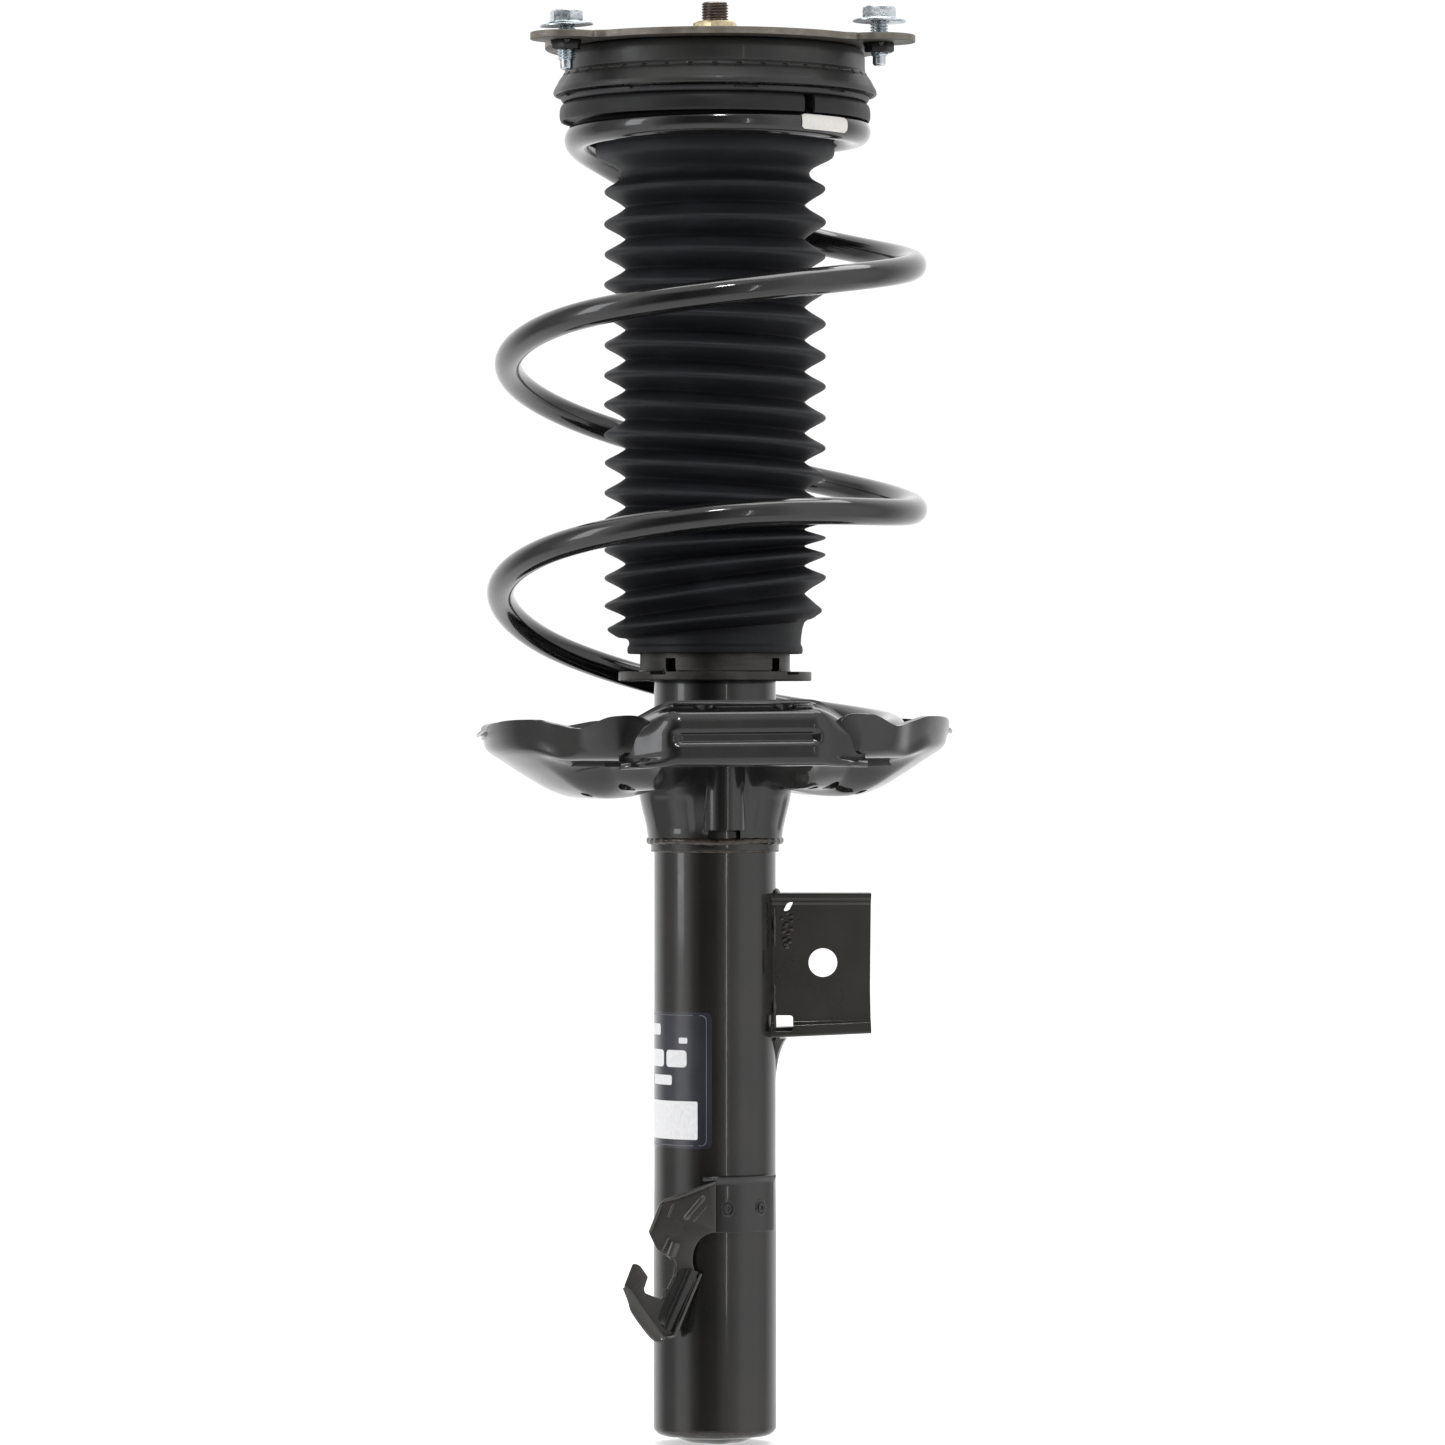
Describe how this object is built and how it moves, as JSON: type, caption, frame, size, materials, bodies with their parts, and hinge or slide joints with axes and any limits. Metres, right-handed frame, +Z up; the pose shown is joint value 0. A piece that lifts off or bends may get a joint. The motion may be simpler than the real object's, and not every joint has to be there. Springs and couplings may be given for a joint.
{
  "type": "suspension strut assembly",
  "caption": "MacPherson strut with coil spring, dust boot, lobed lower spring seat, link and hose brackets, and a rubber top mount that swivels on a ball bearing.",
  "frame": {"origin": "on the strut axis, at the lower end of the tube's clamp land", "axes": "+Z up the strut axis to the top mount, -Y to the hose bracket's side, +X to the link bracket"},
  "size_m": [0.2146, 0.2125, 0.6437],
  "materials": {
    "tube_paint": "gloss",
    "seat_paint": "gloss",
    "spring_paint": "gloss",
    "mount_paint": "satin",
    "plate_steel": "satin",
    "bare_steel": "satin",
    "cap_steel": "satin",
    "zinc": "bright zinc",
    "yellow_zinc": "yellow zinc",
    "hard_chrome": "polished",
    "thread_steel": "phosphated",
    "boot_rubber": "matt",
    "mount_rubber": "matt",
    "foam": "cellular foam",
    "race_plastic": "satin",
    "cage_plastic": "nylon",
    "seal_rubber": "nitrile",
    "bronze": "sintered",
    "band_plastic": "filled PTFE",
    "label_film": "gloss",
    "tag_paper": "paper"
  },
  "bodies": {
    "strut_tube": {"outer_tube": "tube_paint", "base_cap": "tube_paint", "base_valve": "bare_steel", "inner_cylinder": "bare_steel", "rod_guide": "bare_steel", "guide_bush": "bronze", "oil_seal": "seal_rubber", "bump_cap": "cap_steel", "collar_ring": "seat_paint", "seat_support": "seat_paint", "lower_spring_seat": "seat_paint", "spring_pad": "mount_rubber", "link_bracket": "seat_paint", "hose_bracket": "seat_paint", "tube_label": "label_film", "coil_spring": "spring_paint", "dust_boot": "boot_rubber"},
    "upper_seat": {"upper_spring_seat": "race_plastic", "spring_isolator": "mount_rubber", "bump_stop": "foam", "spring_tag": "tag_paper", "lower_race": "bare_steel"},
    "ball_cage": {"bearing_balls": "hard_chrome", "bearing_cage": "cage_plastic"},
    "top_mount": {"upper_race": "bare_steel", "mount_housing": "mount_paint", "bearing_carrier": "mount_paint", "mount_core": "bare_steel", "mount_rubber": "mount_rubber", "mount_plate": "plate_steel", "weld_nuts": "zinc", "tower_bolts": "zinc", "bolt_washers": "zinc", "piston_rod": "hard_chrome", "piston": "bare_steel", "piston_band": "band_plastic", "valve_discs": "bare_steel", "piston_nut": "bare_steel", "stop_ring": "bare_steel", "rebound_stop": "mount_rubber", "rod_washer": "bare_steel", "rod_nut": "yellow_zinc"}
  },
  "joints": [
    {"name": "strut_compression", "type": "slide", "parent": "strut_tube", "child": "upper_seat", "axis": [0, 0, -1], "range_m": [0, 0.17], "stiffness_N_per_m": 25000, "springref_m": -0.006, "deforming": ["coil_spring", "dust_boot", "bump_stop"]},
    {"name": "steering_swivel", "type": "hinge", "parent": "upper_seat", "child": "top_mount", "pos_m": [0, 0, 0.599], "axis": [0, 0, 1], "range_deg": [-40, 40]},
    {"name": "cage_spin", "type": "hinge", "parent": "upper_seat", "child": "ball_cage", "pos_m": [0, 0, 0.599], "axis": [0, 0, 1], "range_deg": [-20, 20]}
  ],
  "couplings": [
    {"joint": "cage_spin", "follows": "steering_swivel", "ratio": 0.5}
  ]
}
